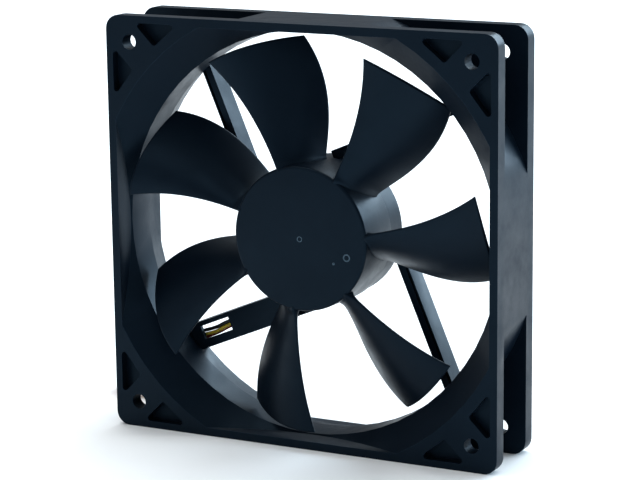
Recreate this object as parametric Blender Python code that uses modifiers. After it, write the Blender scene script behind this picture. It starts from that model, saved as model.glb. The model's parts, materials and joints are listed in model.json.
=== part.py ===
"""Case fan, 120 mm square and 25 mm deep, with its brushless motor, bearings and lead.

The fan is drawn lying on its back: X to the right, Y up the square, Z towards the
intake side. The empty "lying_frame" then stands all of it up, so in the world the
intake faces -Y, the square stands on its lower edge and the rotor turns about the
Y axis through the origin. The free end of the lead is drawn in world coordinates.
"""
import math

import bmesh
import bpy
from mathutils import Matrix, Vector

MM = 0.001

# Driving dimensions of the frame
SIDE = 120 * MM
DEPTH = 25 * MM
FLANGE = 4.5 * MM
CORNER_RADIUS = 4 * MM
HOLE_PITCH = 105 * MM
HOLE_RADIUS = 2.2 * MM
THROAT_RADIUS = 57.3 * MM
INTAKE_RADIUS = 65 * MM
OUTLET_RADIUS = 59.5 * MM
DUCT_OUTER_RADIUS = 63.2 * MM
INTAKE_FLAT = 57.6 * MM
OUTLET_FLAT = 58.6 * MM
FLARE_DEPTH = 7 * MM
OUTLET_DEPTH = 8.5 * MM

# Driving dimensions of the rotor
BLADES = 7
HUB_RADIUS = 20.9 * MM
HUB_FACE_RADIUS = 20.5 * MM
TIP_RADIUS = 55.3 * MM
HUB_FACE = 11 * MM
HUB_REAR = -4.4 * MM
HUB_WALL = 1.5 * MM
SHAFT_RADIUS = 1.5 * MM

# Driving dimensions of the motor base, the struts and the lead
BASE_RADIUS = 20.4 * MM
BASE_FRONT = -5 * MM
STRUT_SLANT = math.radians(-67.25)
STRUT_INNER = 16.9 * MM
STRUT_OUTER = 19.9 * MM
STRUT_FRONT = -5.8 * MM
CHANNEL_INNER = 14.2 * MM
CHANNEL_OUTER = 19.8 * MM
WIRE_STRUT = 3
WALL = 1.2 * MM
GAP = 0.3 * MM
WIRE_DIAMETER = 1.1 * MM
LEAD_DIAMETER = 2.4 * MM
FLOOR = -SIDE / 2

# Blade edges, each at root, half span and tip: angle in degrees, height above the middle
FRONT_EDGE_ANGLES = (111.0, 114.7, 120.1)
REAR_EDGE_ANGLES = (86.2, 86.8, 94.0)
FRONT_EDGE_HEIGHTS = (10.2 * MM, 9.8 * MM, 11.0 * MM)
REAR_EDGE_HEIGHTS = (-2.4 * MM, -3.3 * MM, -0.9 * MM)
BLADE_BULGE = (0.7, 0.9, 1.1)
BLADE_THICKNESS = (1.9 * MM, 1.6 * MM, 1.4 * MM)

# Inside the motor
BASE_FLOOR = -11 * MM
LABEL_RADIUS = 18.2 * MM
LABEL_FRONT = -12.2 * MM
TUBE_SEAT_RADIUS = 5.5 * MM
BEARING_TUBE_RADIUS = 5.2 * MM
BEARING_RADIUS = 4 * MM
BEARING_WIDTH = 3 * MM
BEARING_BALLS = 7
FRONT_BEARING = 3.1 * MM
REAR_BEARING = -7.9 * MM
BOSS_RADIUS = 4 * MM
BOSS_END = 6.9 * MM
SHAFT_TOP = 9.9 * MM
SHAFT_END = -10.9 * MM
CLIP_TOP = -9.7 * MM
CLIP_THICKNESS = 0.3 * MM
MAGNET_WALL = 1.6 * MM
POLES = 4
BOARD_BACK = -5.9 * MM
BOARD_THICKNESS = 1 * MM

# The lead outside the frame: its route in world millimetres, then a tied hank on the floor
EXIT_ALONG = 63 * MM
CHANNEL_MIDDLE = 17 * MM
LEAD_ROUTE = [
    (-51.5, 12.9, -40.0), (-51.5, 15.6, -40.2), (-51.5, 18.1, -40.7),
    (-51.6, 20.3, -41.4), (-51.8, 22.2, -42.4), (-52.2, 23.8, -43.5),
    (-52.6, 25.2, -44.8), (-53.3, 26.4, -46.2), (-54.1, 27.4, -47.5),
    (-55.2, 28.1, -48.9), (-56.6, 28.7, -50.2),
]
HANK_CENTRE = (-61.0 * MM, 22.2 * MM)
HANK_STRAIGHT = 20.8 * MM
HANK_FOLD = 3 * LEAD_DIAMETER
HANK_BOTTOM = FLOOR + 0.7 * MM
HANK_TOP = HANK_BOTTOM + 7.3 * MM
TAIL_LENGTH = 13.4 * MM
TAIL_RISE = 1 * MM

HALF_DEPTH = DEPTH / 2
FINE = 64
ROUND = 32
SMALL = 16


# ---------------------------------------------------------------- scene and materials

def clear_scene():
    for item in list(bpy.data.objects):
        bpy.data.objects.remove(item, do_unlink=True)


def new_collection(name):
    group = bpy.data.collections.new(name)
    bpy.context.scene.collection.children.link(group)
    return group


def material(name, colour, roughness, metallic=0.0):
    made = bpy.data.materials.new(name)
    made.use_nodes = True
    shader = made.node_tree.nodes["Principled BSDF"]
    shader.inputs["Base Color"].default_value = (*colour, 1)
    shader.inputs["Roughness"].default_value = roughness
    shader.inputs["Metallic"].default_value = metallic
    made.diffuse_color = (*colour, 1)
    return made


def place(name, mesh, finish=None, group=None, parent=None):
    made = bpy.data.objects.new(name, mesh)
    (group or PARTS).objects.link(made)
    made.parent = parent
    if finish:
        mesh.materials.append(finish)
    mesh.shade_smooth()
    mesh.set_sharp_from_angle(angle=math.radians(35))
    return made


# ---------------------------------------------------------------- shape tools

def mesh_from(build):
    """A mesh made by a function that fills a bmesh."""
    shape = bmesh.new()
    build(shape)
    bmesh.ops.recalc_face_normals(shape, faces=shape.faces)
    mesh = bpy.data.meshes.new("shape")
    shape.to_mesh(mesh)
    shape.free()
    return mesh


def box_mesh(low, high):
    low, high = Vector(low), Vector(high)
    size = high - low
    move = Matrix.Translation((low + high) / 2)

    def build(shape):
        bmesh.ops.create_cube(shape, size=1, matrix=move @ Matrix.Diagonal((*size, 1)))

    return mesh_from(build)


def cylinder_mesh(centre, radius, bottom, top, segments=SMALL):
    middle = Vector((centre[0], centre[1], (bottom + top) / 2))

    def build(shape):
        bmesh.ops.create_cone(
            shape, cap_ends=True, segments=segments, radius1=radius, radius2=radius,
            depth=top - bottom, matrix=Matrix.Translation(middle),
        )

    return mesh_from(build)


def evaluated_mesh(source):
    """The source object's shape after its modifiers, as a mesh; the source is removed."""
    bpy.context.view_layer.update()
    graph = bpy.context.evaluated_depsgraph_get()
    mesh = bpy.data.meshes.new_from_object(source.evaluated_get(graph))
    mesh.materials.clear()
    shape = bmesh.new()
    shape.from_mesh(mesh)
    bmesh.ops.remove_doubles(shape, verts=shape.verts, dist=1e-6)
    bmesh.ops.recalc_face_normals(shape, faces=shape.faces)
    shape.to_mesh(mesh)
    shape.free()
    bpy.data.objects.remove(source, do_unlink=True)
    return mesh


def turned_mesh(profile, segments=ROUND, closed=True):
    """The profile's (radius, height) points turned once round Z."""
    points = [(radius, 0, height) for radius, height in profile]
    count = len(points)
    edges = [(i, i + 1) for i in range(count - 1)]
    if closed:
        edges.append((count - 1, 0))
    line = bpy.data.meshes.new("profile")
    line.from_pydata(points, edges, [])
    source = bpy.data.objects.new("profile", line)
    bpy.context.scene.collection.objects.link(source)
    turn = source.modifiers.new("turn", "SCREW")
    turn.steps = segments
    turn.render_steps = segments
    turn.use_merge_vertices = True
    turn.merge_threshold = 1e-6
    return evaluated_mesh(source)


def tube_mesh(inner, outer, bottom, top, segments=ROUND):
    return turned_mesh([(outer, top), (outer, bottom), (inner, bottom), (inner, top)], segments)


def plate_mesh(outlines, bottom, top):
    """Flat plate from closed outlines, inner outlines being holes."""
    curve = bpy.data.curves.new("outline", "CURVE")
    curve.dimensions = "2D"
    curve.fill_mode = "BOTH"
    curve.extrude = (top - bottom) / 2
    for outline in outlines:
        line = curve.splines.new("POLY")
        line.points.add(len(outline) - 1)
        for point, (x, y) in zip(line.points, outline):
            point.co = (x, y, 0, 1)
        line.use_cyclic_u = True
    source = bpy.data.objects.new("outline", curve)
    bpy.context.scene.collection.objects.link(source)
    mesh = evaluated_mesh(source)
    mesh.transform(Matrix.Translation((0, 0, (top + bottom) / 2)))
    return mesh


def tube_curve(name, points, diameter, finish, parent=None, resolution=2):
    """Wire or cable along the points, with filled ends."""
    curve = bpy.data.curves.new(name, "CURVE")
    curve.dimensions = "3D"
    curve.bevel_depth = diameter / 2
    curve.bevel_resolution = resolution
    curve.use_fill_caps = True
    line = curve.splines.new("POLY")
    line.points.add(len(points) - 1)
    for point, place_at in zip(line.points, points):
        point.co = (*place_at, 1)
    curve.materials.append(finish)
    made = bpy.data.objects.new(name, curve)
    PARTS.objects.link(made)
    made.parent = parent
    return made


def combine(target, mesh, operation):
    """Cuts the mesh out of the target, or joins or meets it, and keeps the result."""
    tool = place("cutter", mesh, group=CUTTERS, parent=target.parent)
    tool.hide_render = True
    tool.display_type = "WIRE"
    step = target.modifiers.new(operation.lower(), "BOOLEAN")
    step.operation = operation
    step.object = tool
    bpy.context.view_layer.update()
    graph = bpy.context.evaluated_depsgraph_get()
    result = bpy.data.meshes.new_from_object(target.evaluated_get(graph))
    target.modifiers.clear()
    old = target.data
    target.data = result
    bpy.data.meshes.remove(old)
    bpy.data.objects.remove(tool, do_unlink=True)


def merged_mesh(meshes):
    """Several separate solids as one mesh."""
    shape = bmesh.new()
    for mesh in meshes:
        shape.from_mesh(mesh)
    merged = bpy.data.meshes.new("group")
    shape.to_mesh(merged)
    shape.free()
    return merged


# ---------------------------------------------------------------- outlines and curves

def arc(centre, radius, start, end, steps):
    """Points on an arc, angles in degrees, both ends included."""
    points = []
    for i in range(steps + 1):
        angle = math.radians(start + (end - start) * i / steps)
        points.append((centre[0] + radius * math.cos(angle), centre[1] + radius * math.sin(angle)))
    return points


def circle(radius, segments=ROUND):
    return arc((0, 0), radius, 0, 360 * (segments - 1) / segments, segments - 1)


def rounded(corners, radius, steps=4):
    """Polygon with each corner replaced by an arc of the radius."""
    points = []
    count = len(corners)
    for i in range(count):
        here = Vector(corners[i])
        to_last = (Vector(corners[i - 1]) - here).normalized()
        to_next = (Vector(corners[(i + 1) % count]) - here).normalized()
        half = to_last.angle(to_next) / 2
        reach = radius / math.tan(half)
        centre = here + (to_last + to_next).normalized() * radius / math.sin(half)
        first = here + to_last * reach - centre
        last = here + to_next * reach - centre
        sweep = first.angle_signed(last)
        for k in range(steps + 1):
            turn = Matrix.Rotation(-sweep * k / steps, 2)
            points.append(tuple(centre + turn @ first))
    return points


def rectangle(width, height, centre=(0, 0)):
    x, y = width / 2, height / 2
    corners = [(-x, -y), (x, -y), (x, y), (-x, y)]
    return [(centre[0] + a, centre[1] + b) for a, b in corners]


def through(start, middle, end, t):
    """Value at t of the parabola with these values at t = 0, 0.5 and 1."""
    return start * (1 - t) * (1 - 2 * t) + middle * 4 * t * (1 - t) + end * t * (2 * t - 1)


def smooth_route(points, steps):
    """Points on a Catmull-Rom curve through the given points."""
    spots = [Vector(p) for p in points]
    spots = [2 * spots[0] - spots[1]] + spots + [2 * spots[-1] - spots[-2]]
    route = []
    for a, b, c, d in zip(spots, spots[1:], spots[2:], spots[3:]):
        for k in range(steps):
            t = k / steps
            route.append(
                0.5 * (2 * b + (c - a) * t + (2 * a - 5 * b + 4 * c - d) * t**2
                       + (3 * b - a - 3 * c + d) * t**3)
            )
    route.append(spots[-2])
    return route


# ---------------------------------------------------------------- housing

def strut_box(quarter, start, end, inner, outer, bottom, top):
    """Box along a strut: start to end along it, inner to outer away from the rotor's axis."""
    mesh = box_mesh((start, inner, bottom), (end, outer, top))
    mesh.transform(Matrix.Rotation(STRUT_SLANT + quarter * math.pi / 2, 4, "Z"))
    return mesh


def passage_mesh(profile, flat):
    """Round air passage with its sides held to a square of the given half width."""
    cutter = place("passage", turned_mesh(profile, FINE, closed=False), parent=LYING)
    height = DEPTH
    combine(cutter, box_mesh((-flat, -flat, -height), (flat, flat, height)), "INTERSECT")
    mesh = cutter.data.copy()
    bpy.data.objects.remove(cutter, do_unlink=True)
    return mesh


def intake_passage():
    above = 2 * MM
    slope = (INTAKE_RADIUS - THROAT_RADIUS) / FLARE_DEPTH
    profile = [
        (0, HALF_DEPTH + above),
        (INTAKE_RADIUS + slope * above, HALF_DEPTH + above),
        (THROAT_RADIUS, HALF_DEPTH - FLARE_DEPTH),
        (THROAT_RADIUS, -1 * MM),
        (0, -1 * MM),
    ]
    return passage_mesh(profile, INTAKE_FLAT)


def outlet_passage():
    below = 2 * MM
    slope = (OUTLET_RADIUS - THROAT_RADIUS) / OUTLET_DEPTH
    profile = [
        (0, 1 * MM),
        (THROAT_RADIUS, 1 * MM),
        (THROAT_RADIUS, OUTLET_DEPTH - HALF_DEPTH),
        (OUTLET_RADIUS + slope * below, -HALF_DEPTH - below),
        (0, -HALF_DEPTH - below),
    ]
    return passage_mesh(profile, OUTLET_FLAT)


def pocket_outlines():
    """Two shallow triangles beside each front screw hole."""
    corners = [(51 * MM, 58 * MM), (36.5 * MM, 58 * MM), (44.5 * MM, 51.5 * MM)]
    outlines = []
    for x_sign in (1, -1):
        for y_sign in (1, -1):
            upright = [(x_sign * x, y_sign * y) for x, y in corners]
            sideways = [(x_sign * y, y_sign * x) for x, y in corners]
            outlines.append(rounded(upright, 0.9 * MM))
            outlines.append(rounded(sideways, 0.9 * MM))
    return outlines


def build_housing(finish):
    side = rounded(rectangle(SIDE, SIDE), CORNER_RADIUS, 6)
    housing = place("housing", plate_mesh([side], HALF_DEPTH - FLANGE, HALF_DEPTH), finish, parent=LYING)
    combine(housing, plate_mesh([side], -HALF_DEPTH, FLANGE - HALF_DEPTH), "UNION")

    overlap = 1 * MM
    inside_flanges = HALF_DEPTH - FLANGE + overlap
    duct = place("duct", cylinder_mesh((0, 0), DUCT_OUTER_RADIUS, -inside_flanges, inside_flanges, FINE),
                 parent=LYING)
    half = SIDE / 2
    combine(duct, box_mesh((-half, -half, -half), (half, half, half)), "INTERSECT")
    combine(housing, duct.data.copy(), "UNION")
    bpy.data.objects.remove(duct, do_unlink=True)
    combine(housing, intake_passage(), "DIFFERENCE")
    combine(housing, outlet_passage(), "DIFFERENCE")

    add_motor_mount(housing)
    add_wire_channel(housing)

    far = HALF_DEPTH + 1 * MM
    spots = [(x * HOLE_PITCH / 2, y * HOLE_PITCH / 2) for x in (1, -1) for y in (1, -1)]
    holes = [cylinder_mesh(spot, HOLE_RADIUS, -far, far) for spot in spots]
    combine(housing, merged_mesh(holes), "DIFFERENCE")
    pocket_floor = HALF_DEPTH - 3 * MM
    pockets = [plate_mesh([outline], pocket_floor, far) for outline in pocket_outlines()]
    combine(housing, merged_mesh(pockets), "DIFFERENCE")
    return housing


def add_motor_mount(housing):
    """Joins the motor base, its four struts, the tube seat and the pegs under the board."""
    below = -HALF_DEPTH - 1 * MM
    mount = place("mount", cylinder_mesh((0, 0), BASE_RADIUS, -HALF_DEPTH, BASE_FRONT, FINE), parent=LYING)
    start, end = 10 * MM, 59 * MM
    for quarter in range(WIRE_STRUT):
        bar = strut_box(quarter, start, end, STRUT_INNER, STRUT_OUTER, -HALF_DEPTH, STRUT_FRONT)
        groove = strut_box(quarter, start + 3 * MM, end + 1 * MM, STRUT_OUTER - 1 * MM,
                           STRUT_OUTER - 0.4 * MM, STRUT_FRONT - 1.2 * MM, STRUT_FRONT + 1 * MM)
        combine(mount, bar, "UNION")
        combine(mount, groove, "DIFFERENCE")
    bar = strut_box(WIRE_STRUT, start, end, CHANNEL_INNER - WALL, CHANNEL_OUTER + WALL,
                    -HALF_DEPTH, STRUT_FRONT)
    combine(mount, bar, "UNION")
    inside = cylinder_mesh((0, 0), BASE_RADIUS - WALL, BASE_FLOOR, 1 * MM, FINE)
    combine(mount, inside, "DIFFERENCE")
    label_recess = cylinder_mesh((0, 0), LABEL_RADIUS + 0.4 * MM, below, LABEL_FRONT + GAP, FINE)
    combine(mount, label_recess, "DIFFERENCE")
    rooted = BASE_FLOOR - 0.5 * MM
    seat = cylinder_mesh((0, 0), TUBE_SEAT_RADIUS + WALL, rooted, -7.5 * MM, ROUND)
    combine(mount, seat, "UNION")
    combine(mount, cylinder_mesh((0, 0), TUBE_SEAT_RADIUS, below, 0, ROUND), "DIFFERENCE")
    for spot in around(15.5 * MM, 3, 90):
        combine(mount, cylinder_mesh(spot, 1 * MM, rooted, BOARD_BACK - GAP, 12), "UNION")
    combine(housing, mount.data.copy(), "UNION")
    bpy.data.objects.remove(mount, do_unlink=True)


def add_wire_channel(housing):
    """Hollows the wide strut from behind, with its window and its ways in and out."""
    top = STRUT_FRONT - WALL
    behind = -HALF_DEPTH - 1 * MM
    channel = strut_box(WIRE_STRUT, 13.5 * MM, 66 * MM, CHANNEL_INNER, CHANNEL_OUTER, behind, top)
    step = 0.2 * MM
    way_in = strut_box(WIRE_STRUT, 2 * MM, 14 * MM, CHANNEL_INNER + step, CHANNEL_OUTER - step,
                       BASE_FLOOR + step, top - step)
    window = strut_box(WIRE_STRUT, 41.5 * MM, 51.5 * MM, CHANNEL_INNER + step, CHANNEL_OUTER - 1.4 * MM,
                       top - WALL, STRUT_FRONT + WALL)
    for cut in (channel, way_in, window):
        combine(housing, cut, "DIFFERENCE")


# ---------------------------------------------------------------- impeller

def blade_mesh():
    """Loft of one blade: chord lines between its front and rear edge, from root to tip."""
    stations, chord_steps = 5, 6
    root = HUB_FACE_RADIUS - 0.7 * MM
    rows = []
    for i in range(stations + 1):
        t = i / stations
        radius = root + (TIP_RADIUS - root) * t
        front_angle = math.radians(through(*FRONT_EDGE_ANGLES, t))
        rear_angle = math.radians(through(*REAR_EDGE_ANGLES, t))
        front_height = through(*FRONT_EDGE_HEIGHTS, t)
        rear_height = through(*REAR_EDGE_HEIGHTS, t)
        bulge = through(*BLADE_BULGE, t) * (front_height - rear_height)
        thickness = through(*BLADE_THICKNESS, t)
        front, back = [], []
        for k in range(chord_steps + 1):
            u = k / chord_steps
            angle = front_angle + (rear_angle - front_angle) * u
            height = front_height + (rear_height - front_height) * u + bulge * u * (1 - u)
            along = radius * (rear_angle - front_angle)
            drop = rear_height - front_height + bulge * (1 - 2 * u)
            lean = math.hypot(along, drop)
            half = thickness / 2 * (0.5 + 0.5 * math.sin(math.pi * u))
            shift_angle = -drop / lean * half / radius
            shift_height = along / lean * half
            front.append(polar(radius, angle - shift_angle, height - shift_height))
            back.append(polar(radius, angle + shift_angle, height + shift_height))
        rows.append(front + back[::-1])

    def build(shape):
        rings = [[shape.verts.new(point) for point in row] for row in rows]
        count = len(rings[0])
        for near, far in zip(rings, rings[1:]):
            for k in range(count):
                after = (k + 1) % count
                shape.faces.new((near[k], near[after], far[after], far[k]))
        for ring in (rings[0], rings[-1]):
            for k in range(chord_steps):
                shape.faces.new((ring[k], ring[k + 1], ring[count - 2 - k], ring[count - 1 - k]))

    return mesh_from(build)


def polar(radius, angle, height):
    return (radius * math.cos(angle), radius * math.sin(angle), height)


def hub_mesh():
    """Cup with a drafted side, a rounded front edge and a boss that holds the shaft."""
    edge = 0.8 * MM
    shoulder = HUB_FACE_RADIUS - edge
    corner = arc((shoulder, HUB_FACE - edge), edge, 90, 0, 3)
    inner_face = HUB_FACE - HUB_WALL
    shaft_socket = SHAFT_RADIUS + 0.1 * MM
    return turned_mesh([
        (0, HUB_FACE),
        *corner,
        (HUB_RADIUS, HUB_REAR),
        (HUB_RADIUS - HUB_WALL, HUB_REAR),
        (HUB_FACE_RADIUS - HUB_WALL, inner_face),
        (BOSS_RADIUS, inner_face),
        (BOSS_RADIUS, BOSS_END),
        (shaft_socket, BOSS_END),
        (shaft_socket, SHAFT_TOP + 0.1 * MM),
        (0, SHAFT_TOP + 0.1 * MM),
    ], FINE, closed=False)


def build_impeller(finish):
    impeller = place("impeller", hub_mesh(), finish, parent=ROTOR)
    for k in range(BLADES):
        blade = blade_mesh()
        blade.transform(Matrix.Rotation(-2 * math.pi * k / BLADES, 4, "Z"))
        combine(impeller, blade, "UNION")
    return impeller


# ---------------------------------------------------------------- rotor, inside the hub

def build_rotor(steel, ferrite, spring_steel):
    yoke_outer = HUB_FACE_RADIUS - HUB_WALL - GAP - 0.1 * MM
    yoke_wall = 0.8 * MM
    yoke_front = HUB_FACE - HUB_WALL - GAP
    yoke_rear = HUB_REAR + 0.4 * MM
    place("rotor_yoke", turned_mesh([
        (yoke_outer, yoke_front),
        (yoke_outer, yoke_rear),
        (yoke_outer - yoke_wall, yoke_rear),
        (yoke_outer - yoke_wall, yoke_front - yoke_wall),
        (BOSS_RADIUS + GAP, yoke_front - yoke_wall),
        (BOSS_RADIUS + GAP, yoke_front),
    ]), steel, parent=ROTOR)
    magnet_outer = yoke_outer - yoke_wall - GAP
    place("ring_magnet", tube_mesh(magnet_outer - MAGNET_WALL, magnet_outer, -3.6 * MM, 6.4 * MM),
          ferrite, parent=ROTOR)
    groove = 0.3 * MM
    place("shaft", turned_mesh([
        (0, SHAFT_TOP),
        (SHAFT_RADIUS - 0.2 * MM, SHAFT_TOP),
        (SHAFT_RADIUS, SHAFT_TOP - 0.2 * MM),
        (SHAFT_RADIUS, CLIP_TOP + GAP / 2),
        (SHAFT_RADIUS - groove, CLIP_TOP + GAP / 2),
        (SHAFT_RADIUS - groove, CLIP_TOP - CLIP_THICKNESS - GAP / 2),
        (SHAFT_RADIUS, CLIP_TOP - CLIP_THICKNESS - GAP / 2),
        (SHAFT_RADIUS, SHAFT_END),
        (0, SHAFT_END),
    ], SMALL, closed=False), steel, parent=ROTOR)
    clip_outline = arc((0, 0), 2.3 * MM, -60, 240, 16) + arc((0, 0), 1.35 * MM, 240, -60, 16)
    clip = plate_mesh([clip_outline], CLIP_TOP - CLIP_THICKNESS, CLIP_TOP)
    place("retaining_clip", clip, spring_steel, parent=ROTOR)

    wire = 0.3 * MM
    bottom = FRONT_BEARING + BEARING_WIDTH / 2 + GAP + wire / 2
    top = BOSS_END - GAP - wire / 2
    turns, per_turn = 3, 10
    coil = []
    for i in range(turns * per_turn + 1):
        angle = 2 * math.pi * i / per_turn
        coil.append(polar(2.05 * MM, angle, bottom + (top - bottom) * i / (turns * per_turn)))
    tube_curve("preload_spring", coil, wire, spring_steel, ROTOR, 1)


# ---------------------------------------------------------------- ball bearings

def ball_mesh(radius):
    def build(shape):
        bmesh.ops.create_icosphere(shape, subdivisions=2, radius=radius)

    return mesh_from(build)


def build_bearing(label, middle, race_steel, ball_steel, cage_plastic):
    """Miniature ball bearing, 3 x 8 x 3 mm, with its middle at that height."""
    half = BEARING_WIDTH / 2
    ball_ring, ball_radius, groove = 2.8 * MM, 0.55 * MM, 0.15 * MM
    inner_shoulder, outer_shoulder = 2.3 * MM, 3.3 * MM
    place(label + "_inner_race", turned_mesh([
        (inner_shoulder, middle + half),
        (inner_shoulder, middle + ball_radius),
        (inner_shoulder - groove, middle),
        (inner_shoulder, middle - ball_radius),
        (inner_shoulder, middle - half),
        (SHAFT_RADIUS + 0.1 * MM, middle - half),
        (SHAFT_RADIUS + 0.1 * MM, middle + half),
    ], SMALL), race_steel, parent=ROTOR)
    place(label + "_outer_race", turned_mesh([
        (BEARING_RADIUS, middle + half),
        (BEARING_RADIUS, middle - half),
        (outer_shoulder, middle - half),
        (outer_shoulder, middle - ball_radius),
        (outer_shoulder + groove, middle),
        (outer_shoulder, middle + ball_radius),
        (outer_shoulder, middle + half),
    ], ROUND), race_steel, parent=LYING)

    carrier = joint_empty(label + "_ball_axis")
    ball = ball_mesh(ball_radius)
    for k, (x, y) in enumerate(around(ball_ring, BEARING_BALLS), 1):
        made = place(f"{label}_ball_{k}", ball, parent=carrier)
        made.location = (x, y, middle)
    ball.materials.append(ball_steel)
    ring_bottom = middle + ball_radius + 0.15 * MM
    ring = tube_mesh(2.5 * MM, 3.1 * MM, ring_bottom, ring_bottom + 0.4 * MM, SMALL)
    cage = place(label + "_ball_cage", ring, cage_plastic, parent=carrier)
    half_step = 180 / BEARING_BALLS
    finger_low = middle - 0.5 * MM
    fingers = [
        cylinder_mesh(spot, 0.25 * MM, finger_low, ring_bottom + 0.2 * MM, 8)
        for spot in around(ball_ring, BEARING_BALLS, half_step)
    ]
    combine(cage, merged_mesh(fingers), "UNION")


# ---------------------------------------------------------------- stator and its circuit

def pole_outline(arm, neck, shoe_inner, shoe_outer, spread):
    """Star with four arms that end in curved shoes."""
    points = []
    shoe_root = math.degrees(math.asin(arm / 2 / shoe_inner))
    hub_root = math.degrees(math.asin(arm / 2 / neck))
    for k in range(POLES):
        middle = 360 * k / POLES
        points += arc((0, 0), neck, middle - hub_root, middle - hub_root, 1)[:1]
        points += arc((0, 0), shoe_inner, middle - shoe_root, middle - spread, 2)
        points += arc((0, 0), shoe_outer, middle - spread, middle + spread, 8)
        points += arc((0, 0), shoe_inner, middle + spread, middle + shoe_root, 2)
        points += arc((0, 0), neck, middle + hub_root, middle + hub_root, 1)[:1]
    return points


def build_stator(lamination, insulator, copper):
    core_low, core_high = -1.2 * MM, 3.8 * MM
    bore = BEARING_TUBE_RADIUS + GAP
    core = [pole_outline(4 * MM, 7.5 * MM, 13.4 * MM, 15.3 * MM, 38), circle(bore)]
    place("stator_core", plate_mesh(core, core_low, core_high), lamination, parent=LYING)
    cap = [pole_outline(4.6 * MM, 7.9 * MM, 12.9 * MM, 13.8 * MM, 24), circle(bore)]
    cap_thickness = 0.7 * MM
    high = core_high + GAP
    low = core_low - GAP
    place("front_insulator", plate_mesh(cap, high, high + cap_thickness), insulator, parent=LYING)
    place("rear_insulator", plate_mesh(cap, low - cap_thickness, low), insulator, parent=LYING)

    opening = (5.2 * MM, high - low + 2 * cap_thickness + 2 * GAP)
    build_up = 1.5 * MM
    outside = (opening[0] + 2 * build_up, opening[1] + 2 * build_up)
    inner_loop = rounded(rectangle(*opening), 0.5 * MM, 2)
    outer_loop = rounded(rectangle(*outside), 1.4 * MM, 3)
    for k in range(POLES):
        coil = plate_mesh([outer_loop, inner_loop], 8.6 * MM, 12 * MM)
        coil.transform(Matrix.Rotation(math.pi / 2, 4, "Z"))
        coil.transform(Matrix.Rotation(math.pi / 2, 4, "Y"))
        coil.transform(Matrix.Translation((0, 0, (high + low) / 2)))
        coil.transform(Matrix.Rotation(2 * math.pi * k / POLES, 4, "Z"))
        place(f"winding_{k + 1}", coil, copper, parent=LYING)


def build_circuit(board_green, chip_black, can_metal, resistor_body, brass):
    front = BOARD_BACK + BOARD_THICKNESS
    pin_spots = around(10.5 * MM, 3, 135, 90)
    board_outlines = [circle(17 * MM, FINE), circle(7.2 * MM)]
    for x, y in pin_spots:
        board_outlines.append([(x + a, y + b) for a, b in circle(0.65 * MM, 12)])
    place("circuit_board", plate_mesh(board_outlines, BOARD_BACK, front), board_green, parent=LYING)
    for k, spot in enumerate(pin_spots, 1):
        pin = cylinder_mesh(spot, 0.35 * MM, BOARD_BACK - 1 * MM, front + 1.6 * MM, 12)
        place(f"winding_pin_{k}", pin, brass, parent=LYING)

    sensor = box_mesh((13.2 * MM, -1.5 * MM, front + GAP), (14.8 * MM, 1.5 * MM, front + 1.2 * MM))
    sensor.transform(Matrix.Rotation(math.pi / 4, 4, "Z"))
    place("hall_sensor", sensor, chip_black, parent=LYING)

    under = BOARD_BACK - GAP
    chip_middle = -11.8 * MM
    body = box_mesh((-2.4 * MM, chip_middle - 1.9 * MM, under - 1.4 * MM),
                    (2.4 * MM, chip_middle + 1.9 * MM, under - 0.1 * MM))
    chip = place("driver_chip", body, chip_black, parent=LYING)
    legs = []
    for k in range(4):
        x = (k - 1.5) * 1.27 * MM
        legs.append(box_mesh((x - 0.2 * MM, chip_middle - 3.1 * MM, under - 0.4 * MM),
                             (x + 0.2 * MM, chip_middle + 3.1 * MM, under)))
    combine(chip, merged_mesh(legs), "UNION")
    place("capacitor", cylinder_mesh((-11.5 * MM, 4 * MM), 2 * MM, under - 3.4 * MM, under), can_metal,
          parent=LYING)
    for k in range(3):
        y = (k - 1) * 3 * MM
        chip = box_mesh((10.5 * MM, y - 0.6 * MM, under - 0.6 * MM), (12.5 * MM, y + 0.6 * MM, under))
        place(f"resistor_{k + 1}", chip, resistor_body, parent=LYING)


def around(radius, count, start=0, step=None):
    """Points evenly spaced on a circle, from an angle in degrees."""
    step = step or 360 / count
    return [arc((0, 0), radius, start + step * k, start + step * k, 1)[0] for k in range(count)]


# ---------------------------------------------------------------- lead

def on_wire_strut(along, away, height):
    """Point in the lying frame at a distance along the wire strut and away from the axis."""
    turn = Matrix.Rotation(STRUT_SLANT + WIRE_STRUT * math.pi / 2, 4, "Z")
    return turn @ Vector((along, away, height))


def build_wires(colours):
    """Three wires from the board, through the channel, to the notch in the rear flange.

    Each starts under the board, takes its own lane in the channel and turns out at the
    back, where the three ends lie side by side.
    """
    low = -9.3 * MM
    turn = 2.6 * MM
    for k, name in enumerate(("lead_black", "lead_yellow", "lead_red")):
        lane = CHANNEL_MIDDLE + (k - 1) * 1.4 * MM
        end = CHANNEL_MIDDLE + (k - 1) * 1.2 * MM
        route = [
            (-3 * MM, lane - 3 * MM, BOARD_BACK - GAP - 1.5 * MM),
            (0, lane - 2.7 * MM, low + 0.6 * MM),
            (4 * MM, lane - 1.6 * MM, low),
            (9 * MM, lane, low),
            (26 * MM, lane, low),
            (44 * MM, lane, low),
            (EXIT_ALONG - 3 * turn, (lane + end) / 2, low),
            (EXIT_ALONG - turn, end, low - 0.2 * MM),
            (EXIT_ALONG - 0.3 * turn, end, low - 0.8 * MM),
            (EXIT_ALONG, end, low - turn + 0.6 * MM),
            (EXIT_ALONG, end, -HALF_DEPTH + GAP),
        ]
        points = smooth_route([on_wire_strut(*spot) for spot in route], 2)
        tube_curve(name, points, WIRE_DIAMETER, colours[name], LYING, 2)


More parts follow.
